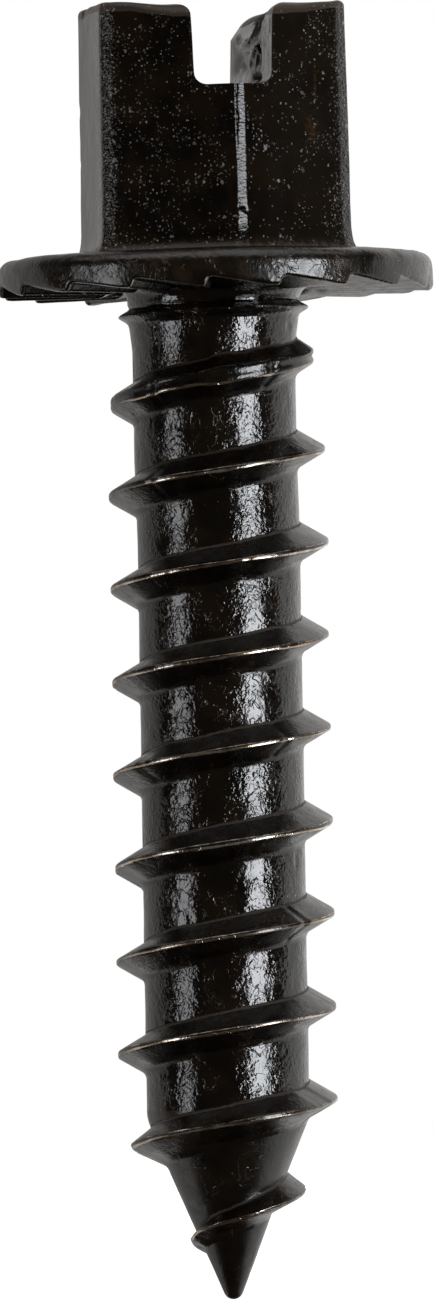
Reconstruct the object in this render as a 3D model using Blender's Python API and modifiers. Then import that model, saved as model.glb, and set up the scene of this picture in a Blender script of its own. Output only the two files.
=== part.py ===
"""Slotted hex washer-head wood screw, No. 12-11 x 1 in, with a serrated flange and a gimlet point.

The real screw is headed and rolled from one piece of wire. It is modelled as its five named
regions, each a closed solid, divided by seams about a hundredth of a millimetre wide.
Metres, +Z up along the screw's axis with the head at the top. z = 0 is the plane of the flange's
tooth tips, which bears on the work. The drive slot runs along Y, from corner to corner of the hex.
"""
import math

import bmesh
import bpy
from mathutils import Matrix, Vector

MM = 0.001
SEAM = 0.015 * MM             # gap that divides two regions of the one piece
PROFILE_MERGE = 0.001 * MM    # welds a turned profile where it meets the axis
TURN_STEPS = 60               # facets round a turned region
ARC_STEPS = 4                 # facets along a rounding in a profile

# Hex head
HEX_FLATS_TOP = 6.18 * MM     # across the flats at the top
HEX_FLATS_FOOT = 6.30 * MM    # across the flats at the flange: a cold-headed hex has draft
HEAD_TOP = 7.10 * MM          # height of the head's top above the bearing plane
HEX_CORNER_RADIUS = 0.36 * MM
HEX_TOP_ROUND = 0.28 * MM     # rounding of the head's top edges
HEX_CORNER_SEGMENTS = 4
HEX_TOP_SEGMENTS = 3

# Drive slot
SLOT_WIDTH_FLOOR = 1.94 * MM
SLOT_WIDTH_MOUTH = 2.03 * MM
SLOT_DEPTH = 2.04 * MM
SLOT_FLOOR_RADIUS = 0.30 * MM
SLOT_MOUTH_RADIUS = 0.30 * MM

# Washer flange
FLANGE_RADIUS = 5.40 * MM
FLANGE_TOP = 1.00 * MM        # top of the flange where the hex stands on it
FLANGE_LEVEL_RADIUS = 3.78 * MM      # the top is level out to here
FLANGE_RIM_TOP = 0.915 * MM   # and falls slightly from there to the rim
RIM_TOP_RADIUS = 0.28 * MM
RIM_FOOT_RADIUS = 0.15 * MM

# Locking teeth under the flange
TOOTH_COUNT = 18
TOOTH_HEIGHT = 0.26 * MM      # at the rim
TOOTH_PITCH = 360.0 / TOOTH_COUNT
TOOTH_LAND = 2.4              # degrees of each tooth's tip that are flat on the bearing plane
TOOTH_PHASE = -3.0            # heading of one tooth's steep side, in degrees from +X
TOOTH_INNER_RADIUS = 2.62 * MM
RECESS_DRAFT = 0.15 * MM      # how much wider the recess inside the teeth is at its mouth
GAP_OVERRUN = 0.30 * MM       # how far a gap's cutter runs past both ends of the teeth

# Shank
NECK_RADIUS = 2.135 * MM
NECK_FILLET = 0.36 * MM
COLLAR_RADIUS = 2.34 * MM     # small ridge that the rolling dies leave above the thread
COLLAR_Z = -0.45 * MM
COLLAR_HALF_HEIGHT = 0.26 * MM
COLLAR_STEPS = 6
CORE_RADIUS = 2.02 * MM
CORE_TOP = -1.50 * MM         # below this the core is parallel

# Gimlet point
TIP_Z = -24.98 * MM
TIP_RADIUS = 0.25 * MM
POINT_HALF_ANGLE = 22.3       # degrees
POINT_BLEND_RADIUS = 1.0 * MM  # eases the core into the cone
POINT_BLEND_STEPS = 3

# Thread
PITCH = 2.309 * MM            # 11 threads per inch
CREST_RADIUS = 2.72 * MM
THREAD_TOP_RADIUS = 2.51 * MM  # crest of the incomplete first turn
FLANK_ANGLE = 29.0            # degrees, half of the thread's included angle
CREST_WIDTH = 0.12 * MM
RUNOUT_CREST_WIDTH = 0.44 * MM
THREAD_REFERENCE_Z = -3.87 * MM      # height of the crest where it crosses the heading below
THREAD_REFERENCE_HEADING = -10.0     # degrees from +X
THREAD_START = -1.25          # turns above the reference where the ridge rises from the neck
RUNOUT_FULL = -1.00           # where the flat-crested run-out reaches its radius
THREAD_FULL = 0.00            # where the crest reaches its full radius
THREAD_FADE = 7.80            # turns below the reference where the ridge begins to fade
THREAD_END = 8.95             # where the ridge dies out on the point
RIDGE_END_HEIGHT = 0.06 * MM  # a fading ridge ends this far above the core
ROOT_LIFT = 0.10 * MM         # the ridge's inner side follows the core this much higher up
STATIONS_PER_TURN = 36

BLACK_OXIDE = (0.020, 0.017, 0.014, 1.0)
WORN_OXIDE = (0.045, 0.038, 0.030, 1.0)
OXIDE_METALLIC = 0.85


def clear_scene():
    for obj in list(bpy.data.objects):
        bpy.data.objects.remove(obj, do_unlink=True)


def new_collection(name):
    collection = bpy.data.collections.new(name)
    bpy.context.scene.collection.children.link(collection)
    return collection


def steel(name, color, roughness):
    material = bpy.data.materials.new(name)
    material.use_nodes = True
    shader = material.node_tree.nodes["Principled BSDF"]
    shader.inputs["Base Color"].default_value = color
    shader.inputs["Metallic"].default_value = OXIDE_METALLIC
    shader.inputs["Roughness"].default_value = roughness
    return material


def new_object(name, mesh, collection, material=None):
    obj = bpy.data.objects.new(name, mesh)
    collection.objects.link(obj)
    if material:
        mesh.materials.append(material)
        mesh.shade_smooth()
        mesh.set_sharp_from_angle(angle=math.radians(30))
    return obj


def mesh_from(bm, name):
    mesh = bpy.data.meshes.new(name)
    bm.to_mesh(mesh)
    bm.free()
    return mesh


def arc(center, radius, start, end, steps):
    """Points of an arc in a plane, from the angle start to the angle end in degrees."""
    points = []
    for i in range(steps + 1):
        angle = math.radians(start + (end - start) * i / steps)
        points.append((center[0] + radius * math.cos(angle), center[1] + radius * math.sin(angle)))
    return points


def turned(name, profile, collection, material):
    """A solid of revolution about Z; profile is (radius, z) from the top of the axis to its foot."""
    bm = bmesh.new()
    verts = [bm.verts.new((radius, 0.0, z)) for radius, z in profile]
    for upper, lower in zip(verts, verts[1:]):
        bm.edges.new((upper, lower))
    obj = new_object(name, mesh_from(bm, name), collection, material)
    screw = obj.modifiers.new("Turn", "SCREW")
    screw.axis = "Z"
    screw.angle = math.tau
    screw.steps = TURN_STEPS
    screw.render_steps = TURN_STEPS
    screw.use_merge_vertices = True
    screw.merge_threshold = PROFILE_MERGE
    return obj


def prism(bm, outline, axis, length):
    """Extrude a closed outline of 3-D points along the unit vector axis, both ways by half of length."""
    start = [bm.verts.new(Vector(point) - axis * length / 2) for point in outline]
    face = bm.faces.new(start)
    extruded = bmesh.ops.extrude_face_region(bm, geom=[face])["geom"]
    moved = [item for item in extruded if isinstance(item, bmesh.types.BMVert)]
    bmesh.ops.translate(bm, verts=moved, vec=axis * length)


def cut(obj, cutter):
    cutter.hide_render = True
    cutter.display_type = "WIRE"
    boolean = obj.modifiers.new("Cut", "BOOLEAN")
    boolean.operation = "DIFFERENCE"
    boolean.solver = "EXACT"
    boolean.object = cutter


# Hex head ----------------------------------------------------------------------------------------

def slot_outline():
    """Cross-section of the slot's cutter in (x, z): a drafted slot with round floor and mouth corners."""
    floor_z = HEAD_TOP - SLOT_DEPTH
    floor_half = SLOT_WIDTH_FLOOR / 2
    mouth_half = SLOT_WIDTH_MOUTH / 2
    floor_arc = arc((floor_half - SLOT_FLOOR_RADIUS, floor_z + SLOT_FLOOR_RADIUS),
                    SLOT_FLOOR_RADIUS, -90, 0, ARC_STEPS)
    # The mouth's rounding stops 10 degrees short of level, so that the cutter leaves the top cleanly.
    mouth_arc = arc((mouth_half + SLOT_MOUTH_RADIUS, HEAD_TOP - SLOT_MOUTH_RADIUS),
                    SLOT_MOUTH_RADIUS, 180, 100, ARC_STEPS)
    lip = (mouth_arc[-1][0] + SLOT_MOUTH_RADIUS, HEAD_TOP + 0.1 * SLOT_MOUTH_RADIUS)
    right = floor_arc + mouth_arc + [lip, (lip[0], HEAD_TOP + SLOT_DEPTH)]
    left = [(-x, z) for x, z in reversed(right)]
    return right + left


def slot_cutter(collection):
    bm = bmesh.new()
    outline = [(x, 0.0, z) for x, z in slot_outline()]
    prism(bm, outline, Vector((0, 1, 0)), 2 * HEX_FLATS_FOOT)
    bmesh.ops.recalc_face_normals(bm, faces=bm.faces)
    return new_object("slot_cutter", mesh_from(bm, "slot_cutter"), collection)


def hex_head(parts, cutters):
    foot = FLANGE_TOP + SEAM
    corner_ratio = 1 / (2 * math.cos(math.radians(30)))
    bm = bmesh.new()
    bmesh.ops.create_cone(bm, cap_ends=True, segments=6, radius1=HEX_FLATS_FOOT * corner_ratio,
                          radius2=HEX_FLATS_TOP * corner_ratio, depth=HEAD_TOP - foot)
    bmesh.ops.translate(bm, verts=bm.verts, vec=(0, 0, (HEAD_TOP + foot) / 2))
    bm.edges.ensure_lookup_table()
    uprights = [edge for edge in bm.edges if abs(edge.verts[0].co.z - edge.verts[1].co.z) > MM]
    corner_offset = HEX_CORNER_RADIUS * math.tan(math.radians(30))
    bmesh.ops.bevel(bm, geom=uprights, offset=corner_offset, segments=HEX_CORNER_SEGMENTS,
                    profile=0.5, affect="EDGES")
    rim = [edge for edge in bm.edges if min(vert.co.z for vert in edge.verts) > HEAD_TOP - SEAM]
    bmesh.ops.bevel(bm, geom=rim, offset=HEX_TOP_ROUND, segments=HEX_TOP_SEGMENTS, profile=0.5,
                    affect="EDGES")
    head = new_object("hex_head", mesh_from(bm, "hex_head"), parts,
                      steel("head_steel", BLACK_OXIDE, 0.38))
    cut(head, slot_cutter(cutters))


# Washer flange -----------------------------------------------------------------------------------

def flange_profile():
    top_center = (FLANGE_RADIUS - RIM_TOP_RADIUS, FLANGE_RIM_TOP - RIM_TOP_RADIUS)
    foot_center = (FLANGE_RADIUS - RIM_FOOT_RADIUS, RIM_FOOT_RADIUS)
    profile = [(0.0, FLANGE_TOP), (FLANGE_LEVEL_RADIUS, FLANGE_TOP)]
    profile += arc(top_center, RIM_TOP_RADIUS, 90, 0, ARC_STEPS)
    profile += arc(foot_center, RIM_FOOT_RADIUS, 0, -90, ARC_STEPS)
    profile += [(TOOTH_INNER_RADIUS + RECESS_DRAFT, 0.0), (TOOTH_INNER_RADIUS, TOOTH_HEIGHT),
                (0.0, TOOTH_HEIGHT)]
    return profile


def tooth_gap(bm, heading):
    """One gap between two teeth: a wedge that is deepest beside the steep side at heading.

    Its roof falls from there, anticlockwise from above, to the bearing plane at the next tooth's land.
    """
    inner = TOOTH_INNER_RADIUS - GAP_OVERRUN
    outer = FLANGE_RADIUS + GAP_OVERRUN
    span = math.radians(TOOTH_PITCH - TOOTH_LAND)
    run = FLANGE_RADIUS * math.sin(span)
    slope = TOOTH_HEIGHT / run
    below = -TOOTH_HEIGHT
    low_edge = -below / slope
    far = Vector((math.cos(span), math.sin(span), 0))
    across = Vector((-math.sin(span), math.cos(span), 0))

    def section(radius):
        thin_end = far * radius
        steep_foot = Vector((radius, 0, below))
        steep_top = Vector((radius, 0, slope * radius * math.sin(span)))
        return [steep_foot, steep_top, thin_end + across * low_edge + Vector((0, 0, below))]

    rings = [[bm.verts.new(point) for point in section(radius)] for radius in (inner, outer)]
    bm.faces.new(rings[0])
    bm.faces.new(reversed(rings[1]))
    for i in range(3):
        following = (i + 1) % 3
        bm.faces.new((rings[0][following], rings[0][i], rings[1][i], rings[1][following]))
    verts = [vert for ring in rings for vert in ring]
    bmesh.ops.rotate(bm, verts=verts, cent=(0, 0, 0), matrix=Matrix.Rotation(math.radians(heading), 3, "Z"))


def washer_flange(parts, cutters):
    flange = turned("washer_flange", flange_profile(), parts, steel("flange_steel", BLACK_OXIDE, 0.42))
    for i in range(TOOTH_COUNT):
        bm = bmesh.new()
        tooth_gap(bm, TOOTH_PHASE + i * TOOTH_PITCH)
        bmesh.ops.recalc_face_normals(bm, faces=bm.faces)
        name = "tooth_gap_cutter_%02d" % (i + 1)
        cut(flange, new_object(name, mesh_from(bm, name), cutters))


# Shank and point ---------------------------------------------------------------------------------

def point_apex_z():
    """Height where the point's cone would end, if the tip were sharp."""
    return TIP_Z + TIP_RADIUS - TIP_RADIUS / math.sin(math.radians(POINT_HALF_ANGLE))


def blend_ends():
    """Heights where the arc between the parallel core and the cone starts and ends."""
    half_angle = math.radians(POINT_HALF_ANGLE)
    corner_z = point_apex_z() + CORE_RADIUS / math.tan(half_angle)
    tangent = POINT_BLEND_RADIUS * math.tan(half_angle / 2)
    return corner_z + tangent, corner_z - tangent * math.cos(half_angle)


def core_radius(z):
    """Radius of the body under the thread at height z."""
    blend_top, blend_foot = blend_ends()
    if z > CORE_TOP:
        share = min(1.0, (z - CORE_TOP) / (COLLAR_Z - CORE_TOP))
        return CORE_RADIUS + (NECK_RADIUS - CORE_RADIUS) * share
    if z > blend_top:
        return CORE_RADIUS
    if z > blend_foot:
        drop = blend_top - z
        return CORE_RADIUS - POINT_BLEND_RADIUS + math.sqrt(POINT_BLEND_RADIUS ** 2 - drop ** 2)
    return (z - point_apex_z()) * math.tan(math.radians(POINT_HALF_ANGLE))


def collar_profile():
    """The collar's rounded section, from the neck above it down to the core."""
    points = []
    for i in range(COLLAR_STEPS + 1):
        share = 2 * i / COLLAR_STEPS - 1
        z = COLLAR_Z - share * COLLAR_HALF_HEIGHT
        rise = (COLLAR_RADIUS - NECK_RADIUS) * math.cos(share * math.pi / 2) ** 2
        points.append((core_radius(z) + rise, z))
    return points


def shank_profile():
    top = TOOTH_HEIGHT - SEAM
    foot = blend_ends()[0]
    profile = [(0.0, top)]
    profile += arc((NECK_RADIUS + NECK_FILLET, top - NECK_FILLET), NECK_FILLET, 90, 180, ARC_STEPS)
    profile += collar_profile()
    profile += [(CORE_RADIUS, CORE_TOP), (CORE_RADIUS, foot), (0.0, foot)]
    return profile


def point_profile():
    blend_top, blend_foot = blend_ends()
    top = blend_top - SEAM
    profile = [(0.0, top)]
    for i in range(POINT_BLEND_STEPS + 1):
        z = top + (blend_foot - top) * i / POINT_BLEND_STEPS
        profile.append((core_radius(z), z))
    profile += arc((0.0, TIP_Z + TIP_RADIUS), TIP_RADIUS, -POINT_HALF_ANGLE, -90, ARC_STEPS)
    profile[-1] = (0.0, TIP_Z)
    return profile


# Thread ------------------------------------------------------------------------------------------

def between(value, start, end):
    """How far value has gone from start to end, from 0 to 1 with eased ends."""
    share = min(1.0, max(0.0, (value - start) / (end - start)))
    return share * share * (3 - 2 * share)


def crest_radius(turn, z):
    """Radius of the ridge's crest: low and flat in the run-out, full, then following the point."""
    base = core_radius(z)
    rise = between(turn, THREAD_START, RUNOUT_FULL)
    full = between(turn, RUNOUT_FULL, THREAD_FULL)
    fade = 1 - between(turn, THREAD_FADE, THREAD_END)
    top = THREAD_TOP_RADIUS + (CREST_RADIUS - THREAD_TOP_RADIUS) * full
    height = (min(top, base + CREST_RADIUS - CORE_RADIUS) - base) * rise * fade
    return base + max(height, RIDGE_END_HEIGHT)


def root_radius(z):
    """Radius of the ridge's inner side, which clears the core where the core curves into the point."""
    return core_radius(z + ROOT_LIFT) + SEAM


def ridge_section(turn):
    """Outline of the ridge at a station as (radius, z): round the flanks and crest, then down inside."""
    z = THREAD_REFERENCE_Z - PITCH * turn
    crest = crest_radius(turn, z)
    flat = between(turn, THREAD_START, RUNOUT_FULL) - between(turn, RUNOUT_FULL, THREAD_FULL)
    half_crest = (CREST_WIDTH + (RUNOUT_CREST_WIDTH - CREST_WIDTH) * flat) / 2
    half_root = half_crest + (crest - core_radius(z)) * math.tan(math.radians(FLANK_ANGLE))
    low, high = z - half_root, z + half_root
    return [(root_radius(low), low), (crest, z - half_crest), (crest, z + half_crest),
            (root_radius(high), high), (root_radius(z), z)]


def thread(parts):
    """The helical ridge: a loft of its changing cross-section along a right-hand helix."""
    count = round((THREAD_END - THREAD_START) * STATIONS_PER_TURN)
    bm = bmesh.new()
    rings = []
    for i in range(count + 1):
        turn = THREAD_START + i / STATIONS_PER_TURN
        heading = math.radians(THREAD_REFERENCE_HEADING - 360 * turn)
        direction = (math.cos(heading), math.sin(heading))
        rings.append([bm.verts.new((radius * direction[0], radius * direction[1], z))
                      for radius, z in ridge_section(turn)])
    bm.faces.new(rings[0])
    bm.faces.new(reversed(rings[-1]))
    for ring, following in zip(rings, rings[1:]):
        for i in range(len(ring)):
            j = (i + 1) % len(ring)
            bm.faces.new((ring[i], following[i], following[j], ring[j]))
    bmesh.ops.recalc_face_normals(bm, faces=bm.faces)
    new_object("thread", mesh_from(bm, "thread"), parts, steel("thread_steel", WORN_OXIDE, 0.35))


def main():
    clear_scene()
    parts = new_collection("wood_screw")
    cutters = new_collection("cutters")
    hex_head(parts, cutters)
    washer_flange(parts, cutters)
    turned("shank", shank_profile(), parts, steel("shank_steel", BLACK_OXIDE, 0.30))
    turned("gimlet_point", point_profile(), parts, steel("point_steel", BLACK_OXIDE, 0.34))
    thread(parts)


main()
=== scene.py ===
"""The finished look of the black screw: fine surfaces, worn oiled oxide, and a bright studio.

Every shape below is worked out in millimetres in the CAD's own frame (+Z up the axis, z = 0 at the
flange's tooth tips) and turned into metres when its mesh is made.
"""

import math

import bmesh
import bpy
import numpy as np
from mathutils import Matrix, Vector


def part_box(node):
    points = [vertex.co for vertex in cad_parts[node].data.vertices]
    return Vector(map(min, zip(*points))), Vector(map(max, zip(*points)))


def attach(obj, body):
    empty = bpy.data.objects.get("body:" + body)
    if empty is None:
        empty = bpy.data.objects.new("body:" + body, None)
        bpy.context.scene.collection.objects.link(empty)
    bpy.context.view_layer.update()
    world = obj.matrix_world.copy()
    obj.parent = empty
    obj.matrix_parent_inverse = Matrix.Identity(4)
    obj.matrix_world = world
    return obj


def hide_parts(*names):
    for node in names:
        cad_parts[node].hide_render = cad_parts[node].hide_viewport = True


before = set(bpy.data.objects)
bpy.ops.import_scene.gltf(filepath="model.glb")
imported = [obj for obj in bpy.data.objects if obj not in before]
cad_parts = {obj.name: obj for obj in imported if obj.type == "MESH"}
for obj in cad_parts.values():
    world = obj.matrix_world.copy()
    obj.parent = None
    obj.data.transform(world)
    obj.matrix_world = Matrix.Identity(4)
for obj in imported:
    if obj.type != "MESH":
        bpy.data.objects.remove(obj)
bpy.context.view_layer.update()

MM = 0.001


def box_mm(node):
    """The low and high corners of a CAD node's box, in millimetres."""
    low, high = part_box(node)
    return np.array(low) / MM, np.array(high) / MM


# Sizes, in millimetres ---------------------------------------------------------------------------

HEAD_TOP = box_mm("hex_head")[1][2]
FLANGE_RADIUS = box_mm("washer_flange")[1][0]
TIP_Z = box_mm("gimlet_point")[0][2]

HEX_FLATS_TOP = 6.165             # across the flats, which have a slight draft
HEX_FLATS_FOOT = 6.27
HEX_CORNER_RADIUS = 0.36
# The flat worn on each corner: the corner's heading, how far the flat faces away from it, its width.
CORNER_FLATS = ((-150, 20, 0.34), (-90, 12, 0.30), (-30, -12, 0.42), (30, 8, 0.30), (90, -10, 0.34),
                (150, 14, 0.26))
HEX_TOP_ROUND = 0.13
HEX_TOP_ROUND_AT_SLOT = 0.36
FOOT_FLARE_HEIGHT = 0.58
FOOT_FLARE = 0.20
SLOT_WIDTH_FLOOR = 1.94
SLOT_WIDTH_MOUTH = 2.03
SLOT_DEPTH = 2.04
SLOT_FLOOR_RADIUS = 0.30
SLOT_MOUTH_RADIUS = 0.30
SLOT_FLOOR = HEAD_TOP - SLOT_DEPTH

# Marks on the head. A place across the axis is (x, y).
LEFT_LAND_RISE = 0.10             # how far the slotting pushed up the outer end of each land
RIGHT_LAND_RISE = 0.05
BURR_PLACE = (3.0, -1.8)
BURR_HEIGHT = 0.07
SEAM_X = -0.005                   # the front corner is cracked along its length
SEAM_DEPTH = 0.018
SEAM_WIDTH = 0.020
NICK_Z = 1.98
NICK_DEPTH = 0.09
CHIPPED_CORNER = (-3.1, 1.75)     # the far left one
CHIP_Z = 4.68
CHIP_DEPTH = 0.11
SMALL_CHIP_Z = 3.35
SMALL_CHIP_DEPTH = 0.05
NOTCH_Y = 0.75
NOTCH_DEPTH = 0.20
CHIP_STAIN = (-3.05, 1.65)
RUST_STREAK = (2.17, -2.35)
RUST_STREAK_Z = 5.1
RUST_STAIN = (2.05, -2.42)
RUST_STAIN_Z = 4.0

# The slot's right-hand wall is torn. Heights are above the slot's floor.
TEAR_NEAR_Y = -2.9                # the broken upper edge grows from here to the far end
TEAR_FAR_Y = 0.4
FACET_DEPTH = 0.07
CRACK_Y = -0.85
CRACK_DEPTH = 0.30
CRACK_FOOT = 0.32
CRACK_TOP = 1.05
HOLLOW_Y = -0.75
HOLLOW_RISE = 0.24
HOLLOW_DEPTH = 0.22

FLANGE_TOP = 1.00
FLANGE_RIM_TOP = 0.915
RIM_TOP_RADIUS = 0.34
TOOTH_COUNT = 18
TOOTH_HEIGHT = 0.26
TOOTH_PHASE = -3.0                # heading of the first tooth's steep side, in degrees
TOOTH_RAMP = 0.90                 # share of a tooth that its ramp takes up
TOOTH_EDGE_RADIUS = 0.09
TOOTH_INNER_RADIUS = 2.62
HIDDEN_RADIUS = 0.8               # where the flange's top and underside close, inside the head and neck

NECK_RADIUS = 2.135
NECK_FILLET = 0.42
NECK_GROOVE_Z = -0.22
COLLAR_RADIUS = 2.375
COLLAR_Z = -0.45
COLLAR_TILT = 0.10                # how much higher it is at the viewer's right, and lower at the left
CORE_RADIUS = 2.02
CORE_TOP = -1.50

POINT_HALF_ANGLE = math.radians(22.3)
POINT_APEX_Z = -25.39
TIP_RADIUS = 0.25
POINT_BLEND_RADIUS = 1.0
POINT_JOIN_Z = -20.27

PITCH = 2.309
CREST_RADIUS = 2.72
THREAD_TOP_RADIUS = 2.51
FLANK_ANGLE = math.radians(29.0)
CREST_WIDTH = 0.11
RUNOUT_CREST_WIDTH = 0.42
LIP_PLACE = 0.022                 # how far in from the crest's edges the worn lips are
LIP_WIDTH = 0.029
UPPER_ROOT_FILLET = 0.14
LOWER_ROOT_FILLET = 0.26
RIDGE_SUNK = 0.10                 # how far the ridge's foot goes into the core
THREAD_REFERENCE_Z = -3.87        # the ridge's height at turn 0, which is at the viewer's right
THREAD_REFERENCE_HEADING = math.radians(-10.0)
THREAD_START = -1.25              # these are turns down from there
RUNOUT_FULL = -1.00
THREAD_FULL = 0.00
THREAD_FADE = 7.80
THREAD_END = 8.95
POINT_TURNS_FROM = 7.9            # from here the ridge runs on the point
POINT_TURNS_DROP = 0.10           # how much lower than the helix it runs there
THREAD_STATIONS = 186             # in each turn
TURN_LENGTH = 17.0                # about the crest's length in one turn, which noise along it needs

# A headed and rolled screw is never quite straight: how far its parts stand off their nominal axis.
HEAD_LEAN = math.radians(-0.45)
HEX_SHIFT = 0.065
FLANGE_SHIFT = 0.02
NECK_SHIFT = -0.05
NECK_BEND_Z = (-6.5, -3.5)
TIP_SHIFT = 0.06
TIP_BEND_Z = -22.0

# The direction from which the screw is seen; the studio is arranged round it.
VIEW_AZIMUTH = math.radians(-9.8)
VIEW_ELEVATION = math.radians(-1.18)
VIEW_ROLL = math.radians(-0.94)
VIEW_RIGHT = Vector((math.cos(VIEW_AZIMUTH), math.sin(VIEW_AZIMUTH), 0))
VIEW_AHEAD = Vector((-math.sin(VIEW_AZIMUTH), math.cos(VIEW_AZIMUTH), 0))


# Repeatable noise --------------------------------------------------------------------------------

def lattice(ix, iy, iz, seed):
    """A repeatable value from -1 to 1 at each point of a lattice of whole numbers.

    The multipliers are large odd numbers that mix the bits, and seed is a number of each use's own.
    """
    mask = 0xFFFFFFFF
    value = (ix * 374761393 + iy * 668265263 + iz * 1440662683 + seed * 1013904223) & mask
    value = ((value ^ (value >> 13)) * 1274126177) & mask
    value = value ^ (value >> 16)
    return value / 2147483647.5 - 1.0


def noise(points, size, seed):
    """Smooth noise from -1 to 1 with features about size across, at an array of points."""
    scaled = np.asarray(points) / size
    cell = np.floor(scaled).astype(np.int64)
    part = scaled - cell
    part = part * part * (3 - 2 * part)
    total = 0.0
    for dx in (0, 1):
        for dy in (0, 1):
            for dz in (0, 1):
                weight = np.abs(1 - dx - part[..., 0]) * np.abs(1 - dy - part[..., 1])
                weight = weight * np.abs(1 - dz - part[..., 2])
                corner = lattice(cell[..., 0] + dx, cell[..., 1] + dy, cell[..., 2] + dz, seed)
                total = total + weight * corner
    return total


def rough(points, size, seed, octaves):
    """Noise with finer and weaker layers on top. Each layer takes the next seed."""
    total = 0.0
    for octave in range(octaves):
        total = total + noise(points, size / 2 ** octave, seed + octave) / 2 ** octave
    return total


def around(radius, heading, z):
    """Points round the axis."""
    return np.stack(np.broadcast_arrays(radius * np.cos(heading), radius * np.sin(heading), z), -1)


def on_line(distance):
    """Points along a line, for noise that changes along it only."""
    return np.stack([distance, 0 * distance, 0 * distance], -1)


def away_from(points, place):
    """Distance across the axis from a place (x, y)."""
    return np.hypot(points[..., 0] - place[0], points[..., 1] - place[1])


def eased(value, start, end):
    """How far value has gone from start to end, from 0 to 1 with eased ends."""
    share = np.clip((value - start) / (end - start), 0.0, 1.0)
    return share * share * (3 - 2 * share)


def bump_at(distance, width):
    """A smooth bump of height 1 that falls away over width."""
    return np.exp(-(distance / width) ** 2)


# Meshes ------------------------------------------------------------------------------------------

def wrapped_faces(rows, columns):
    """Quads of a grid whose columns close into a ring."""
    i = np.arange(rows - 1)[:, None]
    j = np.arange(columns)[None, :]
    following = (j + 1) % columns
    corners = [i * columns + j, (i + 1) * columns + j, (i + 1) * columns + following,
               i * columns + following]
    corners = [np.broadcast_to(corner, (rows - 1, columns)) for corner in corners]
    return np.stack(corners, -1).reshape(-1, 4).tolist()


def paint(mesh, name, values):
    """Keep one value for each vertex, for the material to read."""
    attribute = mesh.attributes.new(name, "FLOAT", "POINT")
    attribute.data.foreach_set("value", np.asarray(values).reshape(-1).astype(np.float32))


def points_mm(mesh):
    """A mesh's vertices in millimetres."""
    flat = np.empty(len(mesh.vertices) * 3, dtype=np.float32)
    mesh.vertices.foreach_get("co", flat)
    return flat.reshape(-1, 3).astype(float) / MM


def tube_mesh(name, rings):
    """A closed mesh through rings of points, an array of (rings, points, 3) in millimetres."""
    rows, columns = rings.shape[:2]
    faces = wrapped_faces(rows, columns)
    faces.append(list(range(columns)))
    faces.append(list(range((rows - 1) * columns, rows * columns))[::-1])
    mesh = bpy.data.meshes.new(name)
    mesh.from_pydata((rings.reshape(-1, 3) * MM).tolist(), [], faces)
    bm = bmesh.new()
    bm.from_mesh(mesh)
    bmesh.ops.recalc_face_normals(bm, faces=bm.faces)
    bm.to_mesh(mesh)
    bm.free()
    return mesh


def add_object(name, mesh, material=None):
    obj = bpy.data.objects.new(name, mesh)
    bpy.context.scene.collection.objects.link(obj)
    if material:
        mesh.materials.clear()
        mesh.materials.append(material)
    return obj


def modified_mesh(obj):
    """A new mesh of the object as its modifiers leave it."""
    graph = bpy.context.evaluated_depsgraph_get()
    return bpy.data.meshes.new_from_object(obj.evaluated_get(graph))


def ring_normals(rings):
    """Outward unit normals of a grid whose columns close into a ring and whose rows run down."""
    down = np.gradient(rings, axis=0)
    sideways = np.roll(rings, -1, axis=1) - np.roll(rings, 1, axis=1)
    normal = np.cross(down, sideways)
    length = np.linalg.norm(normal, axis=-1, keepdims=True)
    return normal / np.maximum(length, 1e-12)


def turned_rings(profile):
    """Rings about Z from a profile of (radius, z)."""
    heading = np.linspace(0, math.tau, CORE_COLUMNS, endpoint=False)
    return around(profile[:, :1], heading, profile[:, 1:])


def resample(points, step):
    """Points every step or so along a polyline, with its corners kept."""
    points = np.array(points)
    result = [points[0]]
    for start, end in zip(points, points[1:]):
        count = max(1, round(np.linalg.norm(end - start) / step))
        result += [start + (end - start) * (i + 1) / count for i in range(count)]
    return np.array(result)


def arc(center, radius, start, end, steps):
    """Points round a circle, from one angle in degrees to another."""
    angles = np.radians(np.linspace(start, end, steps + 1))
    return [(center[0] + radius * math.cos(a), center[1] + radius * math.sin(a)) for a in angles]


def lean_head(mesh, shift):
    """Lean the hex or the flange a little, and set it off the axis."""
    turn = Matrix.Rotation(HEAD_LEAN, 4, VIEW_AHEAD)
    mesh.transform(Matrix.Translation(VIEW_RIGHT * shift * MM) @ turn)


def bend(rings):
    """Move the neck and the tip off the nominal axis, so that the body is slightly bent."""
    z = rings[..., 2]
    offset = NECK_SHIFT * eased(z, *NECK_BEND_Z) + TIP_SHIFT * eased(-z, -TIP_BEND_Z, -TIP_Z)
    rings[..., 0] += offset * VIEW_RIGHT.x
    rings[..., 1] += offset * VIEW_RIGHT.y
    return rings


# Shank, point and thread -------------------------------------------------------------------------

CORE_COLUMNS = 228
CORE_STEP = 0.08
NECK_STEP = 0.045
POINT_STEP = 0.075


def core_radius(z):
    """Radius of the body under the thread at the heights z."""
    cone = (z - POINT_APEX_Z) * math.tan(POINT_HALF_ANGLE)
    corner = POINT_APEX_Z + CORE_RADIUS / math.tan(POINT_HALF_ANGLE)
    tangent = POINT_BLEND_RADIUS * math.tan(POINT_HALF_ANGLE / 2)
    blend_top = corner + tangent
    blend_foot = corner - tangent * math.cos(POINT_HALF_ANGLE)
    drop = np.clip(blend_top - z, 0, POINT_BLEND_RADIUS)
    blend = CORE_RADIUS - POINT_BLEND_RADIUS + np.sqrt(POINT_BLEND_RADIUS ** 2 - drop ** 2)
    swell = (NECK_RADIUS - CORE_RADIUS) * eased(z, CORE_TOP, NECK_GROOVE_Z - 0.1)
    return np.where(z > blend_foot, blend + swell, cone)


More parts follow.
